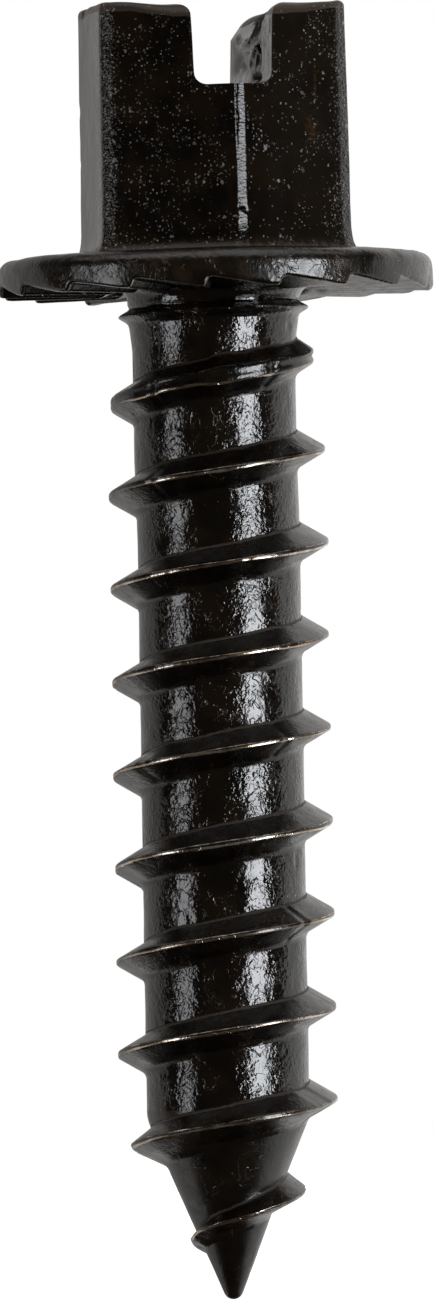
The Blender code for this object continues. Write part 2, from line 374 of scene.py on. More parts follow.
def skin(points, amount=1.0):
    """Height of the rolled surface's unevenness, in millimetres."""
    swell = 0.007 * rough(points, 1.1, 11, 2)
    crinkle = 0.0030 * rough(points, 0.30, 21, 1)
    pits = -0.020 * eased(noise(points, 0.42, 31), 0.66, 0.92)
    return amount * (swell + crinkle + pits)


def neck_profile():
    """From inside the flange down the neck fillet to just above the collar."""
    top = TOOTH_HEIGHT
    profile = [(NECK_RADIUS + NECK_FILLET + 0.25, top + 0.05), (NECK_RADIUS + NECK_FILLET, top)]
    profile += arc((NECK_RADIUS + NECK_FILLET, NECK_GROOVE_Z), NECK_FILLET, 100, 180, 12)
    return profile


def shank_rings():
    """The neck, the tilted collar with the groove over it, and the core down to the point."""
    heights = np.arange(NECK_GROOVE_Z - 0.04, POINT_JOIN_Z, -CORE_STEP)
    core = np.stack([core_radius(heights), heights], -1)
    upper = core[:, 1] > COLLAR_Z - 0.5
    fine = resample(np.concatenate([neck_profile(), core[upper]]), NECK_STEP)
    profile = np.concatenate([fine, core[~upper], [[CORE_RADIUS, POINT_JOIN_Z]]])
    rings = turned_rings(profile)
    heading = np.arctan2(rings[..., 1], rings[..., 0])
    side = np.cos(heading - VIEW_AZIMUTH)
    offset = rings[..., 2] - (COLLAR_Z + COLLAR_TILT * side)
    ridge = (COLLAR_RADIUS - NECK_RADIUS) * bump_at(offset, 0.115)
    groove = -0.05 * bump_at(offset - 0.20, 0.06)
    grow = (ridge + groove) * (rings[..., 2] < COLLAR_Z + 0.60)
    rings[..., 0] += np.cos(heading) * grow
    rings[..., 1] += np.sin(heading) * grow
    return bend(rings + ring_normals(rings) * skin(rings)[..., None])


def point_rings():
    """The cone and its round tip."""
    tangent_z = TIP_Z + TIP_RADIUS * (1 - math.sin(POINT_HALF_ANGLE))
    heights = np.arange(POINT_JOIN_Z, tangent_z, -POINT_STEP)
    cone = np.stack([core_radius(heights), heights], -1)
    tip = arc((0, TIP_Z + TIP_RADIUS), TIP_RADIUS, -math.degrees(POINT_HALF_ANGLE), -87, 8)
    profile = np.concatenate([cone, tip])
    rings = turned_rings(profile)
    uneven = skin(rings, 0.6) * eased(rings[..., 2], TIP_Z, TIP_Z + 1.0)
    return bend(rings + ring_normals(rings) * uneven[..., None])


def ridge_side(height, crest, root):
    """One side of the ridge as (height over the core, distance from its middle) from root to crest.

    height is the ridge's height and crest its half width at the top, one value for each station.
    """
    fillet = np.minimum(root, 0.5 * height)
    foot = crest + height * math.tan(FLANK_ANGLE) + fillet * math.tan((math.pi / 2 - FLANK_ANGLE) / 2)
    points = []
    for angle in np.linspace(0.12, 1.0, 5) * (math.pi / 2 - FLANK_ANGLE):
        points.append((fillet * (1 - math.cos(angle)), foot - fillet * math.sin(angle)))
    low_over, low_away = points[-1]
    for share in (0.22, 0.44, 0.66, 0.86):
        points.append((low_over + (height - 0.25 * crest - low_over) * share,
                       low_away + (crest - low_away) * share))
    return points


def ridge_outline(height, crest, groove):
    """The ridge's outline, from below to above: (height over the core, place along Z, wear, soil)."""
    lower = ridge_side(height, crest, LOWER_ROOT_FILLET)
    upper = ridge_side(height, crest, UPPER_ROOT_FILLET)
    outline = [(-RIDGE_SUNK + 0 * height, -lower[0][1], 0.0, 0.0)]
    outline += [(over, -away, 0.0, 0.0) for over, away in lower]
    for share in np.sin(np.linspace(-math.pi / 2, math.pi / 2, 13)):
        dome = height - 0.30 * crest * share ** 2 - groove * bump_at(share, 0.45)
        lip = np.maximum(bump_at((1 + share) * crest - LIP_PLACE, LIP_WIDTH),
                         0.6 * bump_at((1 - share) * crest - 0.5 * LIP_PLACE, 0.5 * LIP_WIDTH))
        outline.append((dome, crest * share, lip, 0.0))
    soil = [0.0] * (len(upper) - 4) + [0.4, 1.0, 1.0, 0.5]
    outline += [(over, away, 0.0, dirt) for (over, away), dirt in zip(upper[::-1], soil)]
    outline.append((-RIDGE_SUNK + 0 * height, upper[0][1], 0.0, 0.0))
    return outline


def thread_path():
    """At each station: turn, the ridge's z, its height over the core, half its crest's width, its groove."""
    count = round((THREAD_END - THREAD_START) * THREAD_STATIONS) + 1
    turn = THREAD_START + np.arange(count) / THREAD_STATIONS
    along = on_line(turn * TURN_LENGTH)
    middle = THREAD_REFERENCE_Z - PITCH * turn + 0.012 * rough(along, 2.1, 41, 3)
    on_point = eased(turn, POINT_TURNS_FROM, POINT_TURNS_FROM + 0.4)
    middle = middle - on_point * (POINT_TURNS_DROP + 0.022 * noise(along, 0.8, 43))

    rise = eased(turn, THREAD_START, RUNOUT_FULL)
    full = eased(turn, RUNOUT_FULL, THREAD_FULL)
    fade = 1 - eased(turn, THREAD_FADE, THREAD_END)
    top = THREAD_TOP_RADIUS + (CREST_RADIUS - THREAD_TOP_RADIUS) * full
    base = core_radius(middle)
    height = np.minimum(top, base + CREST_RADIUS - CORE_RADIUS) - base
    nicks = 0.05 * eased(noise(along, 0.5, 49), 0.72, 1.0)
    height = np.maximum((height + 0.016 * rough(along, 3.3, 45, 3) - nicks) * rise * fade, 0.012)
    flat = rise - full
    crest = (CREST_WIDTH + (RUNOUT_CREST_WIDTH - CREST_WIDTH) * flat) / 2
    crest = crest * (1 + 0.30 * rough(along, 1.3, 51, 2)) * (0.35 + 0.65 * rise * fade)
    groove = (0.006 + 0.05 * flat) * np.clip(1 + 0.6 * rough(along, 2.0, 55, 2), 0, 2)
    return turn, middle, height, crest, groove


def thread_mesh():
    """The right-hand helical ridge, with its worn lips and the soil along its upper root."""
    turn, middle, height, crest, groove = thread_path()
    heading = THREAD_REFERENCE_HEADING - math.tau * turn
    outline = ridge_outline(height, crest, groove)
    rings = np.zeros((len(turn), len(outline), 3))
    wear = np.zeros(rings.shape[:2])
    soil = np.zeros(rings.shape[:2])
    for i, (over, place, worn, dirt) in enumerate(outline):
        z = middle + place
        radius = core_radius(z) + over
        rings[:, i] = around(radius, heading, z)
        wear[:, i] = worn
        soil[:, i] = dirt
    outward = around(1.0, heading, 0.0)[:, None, :]
    rings[:, 1:-1] += (outward * skin(rings, 0.6)[..., None])[:, 1:-1]
    mesh = tube_mesh("thread_ridge", bend(rings))
    paint(mesh, "wear", wear)
    paint(mesh, "soil", soil)
    return mesh


# Flange ------------------------------------------------------------------------------------------

FLANGE_STEP = 0.09
# Stations across a tooth, as shares of it, closer together at its steep side.
TOOTH_STATIONS = np.concatenate([[0.0, 0.012, 0.03, 0.06], np.linspace(0.12, 0.84, 13),
                                 [0.88, 0.91, 0.94, 0.965, 0.985]])


def tooth_roof(share):
    """Height of the underside across one tooth, from its steep side round to the next one."""
    ramp = 1 - share / TOOTH_RAMP
    rounded = 0.5 * (ramp + np.sqrt(ramp ** 2 + 0.0016))
    step = eased(share, 0.0, 0.09)
    return TOOTH_HEIGHT * np.clip(rounded, 0, 1) * step


def flange_rows(roof):
    """(radius, z) at each row and station from the top over the rim to the underside; the arris's row.

    roof is the height of the toothed underside at each station round the flange.
    """
    def row(radius, height):
        return np.stack([np.full(len(roof), radius), np.broadcast_to(height, roof.shape)], -1)

    rim_round = FLANGE_RADIUS - RIM_TOP_RADIUS
    # The top falls slightly towards the rim.
    top = resample([(HIDDEN_RADIUS, FLANGE_TOP), (2.6, FLANGE_TOP), (3.6, FLANGE_TOP - 0.005),
                    (4.4, FLANGE_TOP - 0.03), (rim_round, FLANGE_RIM_TOP)], FLANGE_STEP)
    rim = arc((rim_round, FLANGE_RIM_TOP - RIM_TOP_RADIUS), RIM_TOP_RADIUS, 80, 0, 9)
    rows = [row(radius, height) for radius, height in np.concatenate([top, rim])]
    wall_top = FLANGE_RIM_TOP - RIM_TOP_RADIUS
    wall_foot = roof + TOOTH_EDGE_RADIUS
    for part in np.linspace(0.15, 1.0, 6):
        rows.append(row(FLANGE_RADIUS, wall_top + (wall_foot - wall_top) * part))
    arris = len(rows)
    for angle in np.radians([25, 50, 72, 90]):
        rows.append(row(FLANGE_RADIUS - TOOTH_EDGE_RADIUS * (1 - math.cos(angle)),
                        wall_foot - TOOTH_EDGE_RADIUS * math.sin(angle)))
    # The teeth grow shallower inwards, and run into a flat recess.
    for radius in np.arange(FLANGE_RADIUS - 0.16, TOOTH_INNER_RADIUS, -FLANGE_STEP):
        shallow = 0.35 + 0.65 * (radius / FLANGE_RADIUS)
        blend = eased(radius, TOOTH_INNER_RADIUS - 0.1, TOOTH_INNER_RADIUS + 0.35)
        low = roof * shallow
        rows.append(row(radius, low * blend + TOOTH_HEIGHT * (1 - blend)))
    rows.append(row(HIDDEN_RADIUS, TOOTH_HEIGHT))
    return np.array(rows), arris


def flange_mesh():
    """The flange with its uneven teeth, dents and worn tooth edges."""
    share = np.tile(TOOTH_STATIONS, TOOTH_COUNT)
    tooth = np.repeat(np.arange(TOOTH_COUNT), len(TOOTH_STATIONS))
    line = on_line(tooth * 3.7)                  # so far apart that each tooth has a height of its own
    heading = np.radians(TOOTH_PHASE + (tooth + share) * 360.0 / TOOTH_COUNT)
    uneven = 1 + 0.18 * noise(line, 1.0, 61)
    table, arris = flange_rows(tooth_roof(share) * uneven)
    radius, height = table[..., 0], table[..., 1]
    rings = around(radius, heading, height)
    dents = 0.016 * rough(rings, 0.8, 71, 3) + 0.03 * rough(rings, 2.6, 75, 1)
    dents = dents * eased(radius, 2.4, 3.4)
    row = np.arange(len(table))[:, None]
    rings = rings + ring_normals(rings) * np.where(row > arris + 3, dents * 0.25, dents)[..., None]
    mesh = tube_mesh("flange_disc", rings)
    paint(mesh, "wear", bump_at(row - arris - 2, 0.8) * np.ones(rings.shape[:2]))
    return mesh


# Hex head ----------------------------------------------------------------------------------------

HEX_COLUMNS = 330
SLOT_STEP = 0.065
CUTTER_REACH = 4.4                # how far the slot's tool shape goes past the axis, beyond the hex
SIXTH = math.radians(60)
OUT_OF_REACH = 9.0                # a radius that the hex never has


def off_flat(heading):
    """Angle between a heading and the middle of the nearest flat."""
    return np.abs((heading + SIXTH / 2) % SIXTH - SIXTH / 2)


def soft_min(first, second, width):
    """The lower of two values, with the change from one to the other rounded over width."""
    return -width * np.logaddexp(-first / width, -second / width)


def hex_radius(heading, flats):
    """Radius of the hex's outline at its headings, with flats facing +X and -X and the corners worn."""
    apothem = flats / 2
    angle = off_flat(heading)
    radius = apothem / np.cos(angle)
    center = (apothem - HEX_CORNER_RADIUS) / math.cos(SIXTH / 2)
    off_corner = SIXTH / 2 - angle
    reach = np.maximum(HEX_CORNER_RADIUS ** 2 - (center * np.sin(off_corner)) ** 2, 0)
    on_corner = apothem * np.tan(angle) > (apothem - HEX_CORNER_RADIUS) * math.tan(SIXTH / 2)
    radius = np.where(on_corner, center * np.cos(off_corner) + np.sqrt(reach), radius)
    for corner, turn, width in CORNER_FLATS:
        # The angles between the worn flat and the two faces that it joins.
        low = math.radians(30 - abs(turn))
        high = math.radians(30 + abs(turn))
        depth = width / (1 / math.tan(low) + 1 / math.tan(high))
        distance = apothem / math.cos(SIXTH / 2) * math.cos(math.radians(turn)) - depth
        away = (heading - math.radians(corner + turn) + math.pi) % math.tau - math.pi
        near = np.abs(away) < SIXTH
        flat = np.where(near, distance / np.cos(np.clip(away, -SIXTH, SIXTH)), OUT_OF_REACH)
        radius = soft_min(radius, flat, 0.004)
    return radius


def top_round(heading):
    """Radius of the rounded top edge: small at the corners and larger towards the slot."""
    x = hex_radius(heading, HEX_FLATS_TOP) * np.cos(heading)
    away = np.abs(np.abs(x) - SLOT_WIDTH_MOUTH / 2)
    wander = 0.05 * rough(around(1.0, heading, 0.0) * 3.4, 1.1, 81, 3)
    return HEX_TOP_ROUND + (HEX_TOP_ROUND_AT_SLOT - HEX_TOP_ROUND) * bump_at(away, 1.0) + wander


def top_lift(points):
    """How much higher than nominal the top is: the ends of both lands were pushed up by the slotting."""
    x, z = points[..., 0], points[..., 2]
    near_top = eased(z, HEAD_TOP - 1.2, HEAD_TOP - 0.1)
    left = LEFT_LAND_RISE * eased(-x, 1.5, 2.7)
    right = RIGHT_LAND_RISE * eased(x, 1.8, 3.0)
    burr = BURR_HEIGHT * bump_at(away_from(points, BURR_PLACE), 0.16)
    return near_top * (left + right + burr)


def corner_marks(points):
    """Depth of the front corner's seam and nick, the far left corner's chips and the left land's notch."""
    x, y, z = points[..., 0], points[..., 1], points[..., 2]
    in_front = y < 0
    wander = 0.03 * noise(points * np.array([0, 0, 1]), 0.35, 121)
    seam = SEAM_DEPTH * bump_at(x - SEAM_X - wander, SEAM_WIDTH) * eased(z, 3.0, 4.2) * in_front
    nick = NICK_DEPTH * bump_at(z - NICK_Z + 0.35 * x, 0.035) * bump_at(x - 0.05, 0.14) * in_front
    from_corner = away_from(points, CHIPPED_CORNER)
    chips = CHIP_DEPTH * bump_at(from_corner, 0.16) * bump_at(z - CHIP_Z, 0.13)
    chips = chips + SMALL_CHIP_DEPTH * bump_at(from_corner, 0.14) * bump_at(z - SMALL_CHIP_Z, 0.05)
    notch = NOTCH_DEPTH * bump_at(y - NOTCH_Y + 0.6 * (z - HEAD_TOP), 0.07)
    notch = notch * eased(z, HEAD_TOP - 0.30, HEAD_TOP) * (x < -2.5)
    return seam + nick + chips + notch


def head_rings():
    """The hex from the middle of its top, over the rounded edge, down the flats and out at the foot."""
    heading = np.linspace(0, math.tau, HEX_COLUMNS, endpoint=False)
    heading = heading - 0.1 * np.sin(6 * heading - math.pi)      # closer together at the corners
    rows = []

    def flats_at(z):
        share = (HEAD_TOP - z) / (HEAD_TOP - FLANGE_TOP)
        return HEX_FLATS_TOP + (HEX_FLATS_FOOT - HEX_FLATS_TOP) * share

    top_radius = hex_radius(heading, flats_at(HEAD_TOP))
    round_over = top_round(heading)
    for share in np.linspace(0.03, 1.0, 34):
        rows.append(((top_radius - round_over) * share, np.full(HEX_COLUMNS, HEAD_TOP)))
    for angle in np.radians(np.linspace(10, 90, 9)):
        z = HEAD_TOP - round_over * (1 - math.cos(angle))
        rows.append((top_radius - round_over * (1 - math.sin(angle)), z))
    wall_top = HEAD_TOP - round_over
    fillet_top = FLANGE_TOP + FOOT_FLARE_HEIGHT
    for share in np.linspace(0, 1, 84)[1:]:
        z = wall_top + (fillet_top - wall_top) * share
        rows.append((hex_radius(heading, flats_at(z)), z))
    foot = hex_radius(heading, HEX_FLATS_FOOT)
    for angle in np.radians(np.linspace(10, 86, 9)):
        rows.append((foot + FOOT_FLARE * (1 - math.cos(angle)),
                     fillet_top - FOOT_FLARE_HEIGHT * math.sin(angle)))
    rows.append((foot + FOOT_FLARE, np.full(HEX_COLUMNS, FLANGE_TOP - 0.06)))

    radius = np.array([row[0] for row in rows])
    height = np.array([np.broadcast_to(row[1], (HEX_COLUMNS,)) for row in rows])
    rings = around(radius, heading, height)
    uneven = 0.010 * rough(rings, 1.6, 85, 2) + 0.0025 * rough(rings, 0.30, 91, 2)
    uneven -= corner_marks(rings)
    rings = rings + ring_normals(rings) * uneven[..., None]
    rings[..., 2] += top_lift(rings)
    return rings


def slot_outline():
    """The slot's drafted walls, round floor corners and round mouth, across the slot."""
    half_floor = SLOT_WIDTH_FLOOR / 2
    half_mouth = SLOT_WIDTH_MOUTH / 2
    right = arc((half_floor - SLOT_FLOOR_RADIUS, SLOT_FLOOR + SLOT_FLOOR_RADIUS), SLOT_FLOOR_RADIUS,
                -90, 0, 8)
    right += arc((half_mouth + SLOT_MOUTH_RADIUS, HEAD_TOP - SLOT_MOUTH_RADIUS), SLOT_MOUTH_RADIUS,
                 180, 100, 8)
    lip = right[-1][0] + 0.6
    right += [(lip, HEAD_TOP + 0.06), (lip, HEAD_TOP + 1.0)]
    left = [(-x, z) for x, z in right[::-1]]
    return resample(right + left, SLOT_STEP)


def torn_wall(points):
    """How much further into the right-hand wall the slot goes: broken edge, facets, crack and hollow."""
    y, z = points[..., 1], points[..., 2]
    far = eased(y, TEAR_NEAR_Y, TEAR_FAR_Y)
    bevel_foot = HEAD_TOP - 0.42 - 0.30 * far - 0.10 * np.round(1.5 * noise(points, 0.9, 101))
    bevel = (0.06 + 0.34 * far) * np.clip((z - bevel_foot) / (HEAD_TOP - bevel_foot), 0, 1)
    level = 4 * noise(points * np.array([0, 1, 0.7]), 0.80, 103)
    facets = FACET_DEPTH * np.abs(np.floor(level) + eased(level - np.floor(level), 0.45, 0.85))
    facets = facets * eased(z, SLOT_FLOOR + 0.30, SLOT_FLOOR + 0.7)
    facets = facets * eased(y, -1.6, -0.9) * eased(-y, -2.7, -1.5)
    wedge = 0.05 + 0.09 * np.clip((z - SLOT_FLOOR - 0.35) / 0.7, 0, 1)
    crack = CRACK_DEPTH * (np.abs(y - CRACK_Y + 0.05 * noise(points, 0.3, 109)) < wedge)
    crack = crack * (z > SLOT_FLOOR + CRACK_FOOT) * (z < SLOT_FLOOR + CRACK_TOP)
    hollow = HOLLOW_DEPTH * bump_at(y - HOLLOW_Y, 0.55) * bump_at(z - SLOT_FLOOR - HOLLOW_RISE, 0.13)
    return bevel + facets + crack + hollow


def slot_cutter():
    """The slot's tool shape, a little uneven, with the torn right-hand wall."""
    outline = slot_outline()
    along = np.arange(-CUTTER_REACH, CUTTER_REACH + 0.0001, SLOT_STEP)
    rings = np.zeros((len(along), len(outline), 3))
    rings[..., 0] = outline[None, :, 0]
    rings[..., 1] = along[:, None]
    rings[..., 2] = outline[None, :, 1]
    z = rings[..., 2]
    side = np.sign(rings[..., 0])
    wall = eased(z, SLOT_FLOOR + 0.02, SLOT_FLOOR + 0.22) * (z < HEAD_TOP + 0.03)
    rings[..., 0] += side * wall * 0.006 * rough(rings, 0.7, 113, 1)
    rings[..., 0] += (side > 0) * wall * torn_wall(rings)
    rings[..., 2] += 0.010 * rough(rings, 0.6, 117, 2) * (z < HEAD_TOP)
    return add_object("slot_cutter", tube_mesh("slot_cutter", rings))


def head_mesh():
    """The hex with its slot cut through."""
    head = add_object("head_blank", tube_mesh("head_blank", head_rings()))
    cutter = slot_cutter()
    for obj in (head, cutter):
        obj.data.transform(Matrix.Scale(1 / MM, 4))
    boolean = head.modifiers.new("Slot", "BOOLEAN")
    boolean.operation = "DIFFERENCE"
    boolean.solver = "EXACT"
    boolean.object = cutter
    mesh = modified_mesh(head)
    mesh.transform(Matrix.Scale(MM, 4))
    for obj in (head, cutter):
        bpy.data.objects.remove(obj, do_unlink=True)
    paint_head(mesh)
    return mesh


def paint_head(mesh):
    """Where the hex is dull along its edges, scuffed, dusty at its foot, a lighter brown on its front right
    faces, torn and rusty.
    """
    points = points_mm(mesh)
    x, y, z = points.T
    heading = np.arctan2(y, x)
    over = top_round(heading)
    edges = eased(z, HEAD_TOP - 1.25 * over, HEAD_TOP - 0.55 * over)
    slot_edges = 0.5 * bump_at(np.abs(x) - SLOT_WIDTH_MOUTH / 2, 0.10) * (z > SLOT_FLOOR + 0.3)
    paint(mesh, "dull", np.maximum(edges, slot_edges))

    radius = np.hypot(x, y)
    off_corner = radius * (SIXTH / 2 - off_flat(heading))
    on_wall = radius > hex_radius(heading, HEX_FLATS_TOP) - 0.12
    at_side = (y < 0) & (np.abs(x) > 1.5)
    scuffed = np.where(at_side, 1.0, 0.22) * bump_at(off_corner, np.where(at_side, 0.40, 0.17))
    paint(mesh, "scuffed", scuffed * on_wall)

    chipped = bump_at(z - CHIP_Z, 0.17) + bump_at(z - SMALL_CHIP_Z, 0.07)
    chipped = chipped * bump_at(away_from(points, CHIP_STAIN), 0.22)
    paint(mesh, "dusty", np.maximum(1 - eased(z, FLANGE_TOP - 0.02, FLANGE_TOP + 0.32), chipped))
    # A patchy, lighter brown on the front right faces only.
    paint(mesh, "right_face_tint", eased(x, 0.25, 1.2) * (y < 0) * (0.65 + 0.35 * rough(points, 1.4, 125, 3)))
    on_right_wall = (x > 0.9) & (x < 1.6) & (z > SLOT_FLOOR + 0.12) & (z < HEAD_TOP - 0.05)
    paint(mesh, "torn", on_right_wall & ~on_wall)
    streak = bump_at(away_from(points, RUST_STREAK), 0.07) * bump_at(z - RUST_STREAK_Z, 0.75)
    stain = bump_at(away_from(points, RUST_STAIN), 0.30) * bump_at(z - RUST_STAIN_Z, 0.55)
    paint(mesh, "rust", np.maximum(streak, 0.8 * stain))


# Materials ---------------------------------------------------------------------------------------

class Nodes:
    """A node tree that is filled one node after another."""

    def __init__(self, tree):
        self.tree = tree

    def add(self, kind, **settings):
        node = self.tree.nodes.new(kind)
        for key, value in settings.items():
            setattr(node, key, value)
        return node

    def join(self, source, target):
        """Link a node's output to a socket, or set the socket to a constant."""
        if hasattr(source, "links"):
            self.tree.links.new(source, target)
        else:
            target.default_value = source

    def ramp(self, value, low, high, to_low=0.0, to_high=1.0):
        """Value mapped from low..high to to_low..to_high with eased ends."""
        node = self.add("ShaderNodeMapRange", interpolation_type="SMOOTHSTEP")
        self.join(value, node.inputs["Value"])
        limits = {"From Min": low, "From Max": high, "To Min": to_low, "To Max": to_high}
        for socket, number in limits.items():
            self.join(number, node.inputs[socket])
        return node.outputs["Result"]

    def math(self, operation, first, second=0.0, third=0.0):
        node = self.add("ShaderNodeMath", operation=operation)
        for source, target in zip((first, second, third), node.inputs):
            self.join(source, target)
        return node.outputs["Value"]

    def times(self, first, second):
        return self.math("MULTIPLY", first, second)

    def larger(self, first, second):
        return self.math("MAXIMUM", first, second)

    def either(self, share, first, second):
        """The first shader where share is 0 and the second where it is 1."""
        node = self.add("ShaderNodeMixShader")
        for source, target in zip((share, first, second), node.inputs):
            self.join(source, target)
        return node.outputs["Shader"]


class Graph(Nodes):
    """A material's nodes. Sizes are in millimetres on the object."""

    def __init__(self, name):
        self.material = bpy.data.materials.new(name)
        self.material.use_nodes = True
        super().__init__(self.material.node_tree)
        self.shader = self.tree.nodes["Principled BSDF"]
        self.place = self.add("ShaderNodeTexCoord").outputs["Object"]

    def texture(self, kind, size, place=None):
        """A texture whose features are about size across."""
        node = self.add(kind)
        self.join(place or self.place, node.inputs["Vector"])
        self.join(1 / (size * MM), node.inputs["Scale"])
        return node

    def noise(self, size, detail=2.0, distortion=0.0, place=None):
        node = self.texture("ShaderNodeTexNoise", size, place)
        self.join(detail, node.inputs["Detail"])
        self.join(distortion, node.inputs["Distortion"])
        return node.outputs["Fac"]

    def mix(self, share, first, second):
        """A colour between first and second."""
        node = self.add("ShaderNodeMix", data_type="RGBA")
        self.join(share, node.inputs["Factor"])
        self.join(first, node.inputs["A"])
        self.join(second, node.inputs["B"])
        return node.outputs["Result"]

    def stretched(self, scale, turn=(0.0, 0.0, 0.0)):
        """The place, turned and then divided by scale, so that a texture on it is stretched."""
        node = self.add("ShaderNodeMapping", vector_type="TEXTURE")
        self.join(self.place, node.inputs["Vector"])
        self.join(scale, node.inputs["Scale"])
        self.join(turn, node.inputs["Rotation"])
        return node.outputs["Vector"]

    def painted(self, name):
        """A value that was kept for each vertex."""
        return self.add("ShaderNodeAttribute", attribute_name=name).outputs["Fac"]

    def broken(self, share, size, amount=0.5):
        """A soft share from 0 to 1 made into patches with ragged edges."""
        ragged = self.math("MULTIPLY_ADD", self.noise(size, 3), 2 * amount, share)
        return self.ramp(ragged, 0.40 + amount, 0.60 + amount)

    def shaken(self, size, amount, place=None):
        """The place, pushed about by roughly amount each way, so that shapes on it turn ragged."""
        noise = self.texture("ShaderNodeTexNoise", size, place)
        push = self.add("ShaderNodeVectorMath", operation="MULTIPLY_ADD")
        self.join(noise.outputs["Color"], push.inputs[0])
        self.join((4 * amount * MM,) * 3, push.inputs[1])
        self.join(place or self.place, push.inputs[2])
        return push.outputs["Vector"]

    def specks(self, size, radius, chance, place=None):
        """Spots of random size and strength, one in some of the cells; radius is a share of a cell."""
        cells = self.texture("ShaderNodeTexVoronoi", size, self.shaken(0.35 * size, 0.16 * size, place))
        random = self.add("ShaderNodeSeparateColor")
        self.join(cells.outputs["Color"], random.inputs["Color"])
        reach = self.ramp(random.outputs["Red"], 0.0, 1.0, 0.25 * radius, radius)
        present = self.math("LESS_THAN", random.outputs["Green"], chance)
        strength = self.math("MULTIPLY_ADD", self.math("POWER", random.outputs["Blue"], 2.0), 0.85, 0.15)
        spot = self.times(self.math("LESS_THAN", cells.outputs["Distance"], reach), present)
        return self.times(spot, strength)

    def bump(self, height, depth, strength=1.0, normal=None):
        """Bump of a height from 0 to 1 that stands for depth."""
        node = self.add("ShaderNodeBump")
        self.join(strength, node.inputs["Strength"])
        self.join(depth * MM, node.inputs["Distance"])
        self.join(height, node.inputs["Height"])
        if normal is not None:
            self.join(normal, node.inputs["Normal"])
        return node.outputs["Normal"]


# Linear colours.
BLACK = (0.0036, 0.0028, 0.0020, 1)
BROWN_BLACK = (0.0130, 0.0078, 0.0038, 1)
DULL_BROWN = (0.054, 0.039, 0.029, 1)
FLANGE_BROWN = (0.0240, 0.0145, 0.0075, 1)
DUST = (0.044, 0.031, 0.022, 1)
RIGHT_FACE_BROWN = (0.0150, 0.0115, 0.0085, 1)
SOIL = (0.030, 0.019, 0.011, 1)
TORN_DARK = (0.060, 0.060, 0.060, 1)
TORN_LIGHT = (0.500, 0.490, 0.480, 1)
OCHRE = (0.050, 0.026, 0.008, 1)
# Bright specks: partly bare steel, partly painted glints that stand in for tiny facets catching the soft
# boxes.
GLINT_AND_BARE_STEEL = (0.32, 0.305, 0.29, 1)
WORN_STEEL = (0.66, 0.60, 0.52, 1)
WORN_BROWN = (0.46, 0.36, 0.26, 1)


def oxide(name, ior=1.55):
    """A material's graph with oiled black oxide's colour: near black, with browner patches."""
    graph = Graph(name)
    graph.shader.inputs["IOR"].default_value = ior
    patches = graph.ramp(graph.noise(0.9, 4), 0.38, 0.66)
    return graph, graph.mix(patches, BLACK, BROWN_BLACK)


def crinkled(graph, depth):
    """Bump of a rolled and blackened surface: fine crinkles, and a few creases that wander about.

    It is smoother in patches, and where the mesh is painted "calm".
    """
    smoother = graph.ramp(graph.noise(0.6, 2), 0.38, 0.60, 0.30, 1.0)
    smoother = graph.times(smoother, graph.math("SUBTRACT", 1.0, graph.painted("calm")))
    fine = graph.times(graph.noise(0.095, 1.5, 0.6), smoother)
    normal = graph.bump(graph.noise(0.22, 1, 0.8), 0.9 * depth)
    normal = graph.bump(fine, 1.5 * depth, 1.0, normal)
    from_line = graph.math("ABSOLUTE", graph.math("SUBTRACT", graph.noise(0.45, 2, 0.8), 0.5))
    smooth_areas = graph.ramp(graph.noise(0.9, 2), 0.56, 0.50)
    crease = graph.larger(graph.ramp(from_line, 0.0, 0.018), smooth_areas)
    return graph.bump(crease, 0.8 * depth, 1.0, normal)


def finish(graph, color, roughness, normal, metallic=0.0):
    """The material, with its shader's main sockets set."""
    shader = graph.shader
    graph.join(color, shader.inputs["Base Color"])
    graph.join(metallic, shader.inputs["Metallic"])
    graph.join(roughness, shader.inputs["Roughness"])
    graph.join(normal, shader.inputs["Normal"])
    return graph.material


def shank_material(name, depth, least_roughness):
    """Oxide on the rolled body, with crinkles as deep as depth and a few bright specks, partly bare steel
    and partly painted glints.
    """
    graph, color = oxide(name)
    # Painted glints as well as bare steel, in a few bright specks.
    glint_speck = graph.specks(0.24, 0.14, 0.10)
    color = graph.mix(glint_speck, color, GLINT_AND_BARE_STEEL)
    roughness = graph.ramp(graph.noise(0.35, 3), 0.3, 0.7, least_roughness, least_roughness + 0.09)
    return finish(graph, color, roughness, crinkled(graph, depth))


def thread_material():
    """The same oxide with bright, broken lips along the crest and dry soil along the upper root."""
    graph, color = oxide("thread_oxide")
    soil = graph.broken(graph.times(graph.painted("soil"), 0.72), 0.20, 0.5)
    color = graph.mix(soil, color, SOIL)
    runs = graph.ramp(graph.noise(2.2, 2), 0.36, 0.60, 0.35, 1.0)
    worn = graph.times(graph.broken(graph.painted("wear"), 0.20, 0.45), runs)
    bright = graph.mix(graph.ramp(graph.noise(0.6, 3), 0.42, 0.58), WORN_BROWN, WORN_STEEL)
    color = graph.mix(worn, color, bright)
    roughness = graph.ramp(graph.noise(0.35, 3), 0.3, 0.7, 0.18, 0.30)
    roughness = graph.larger(roughness, graph.times(soil, 0.6))
    return finish(graph, color, roughness, crinkled(graph, 0.006), graph.ramp(worn, 0.2, 0.7))


def flange_material():
    """Browner oxide, crinkled round the rim, with worn tooth edges and bright specks that are partly painted
    glints.
    """
    graph, color = oxide("flange_oxide")
    stain = graph.ramp(graph.noise(0.8, 4, 0.5), 0.50, 0.66)
    color = graph.mix(stain, color, FLANGE_BROWN)
    # Bright specks: painted glints as well as bare steel.
    color = graph.mix(graph.specks(0.18, 0.14, 0.25), color, GLINT_AND_BARE_STEEL)
    worn = graph.broken(graph.painted("wear"), 0.22, 0.5)
    color = graph.mix(graph.times(worn, 0.5), color, WORN_STEEL)
    roughness = graph.ramp(graph.noise(0.35, 3), 0.3, 0.7, 0.18, 0.30)
    return finish(graph, color, roughness, crinkled(graph, 0.008), graph.times(worn, 0.5))


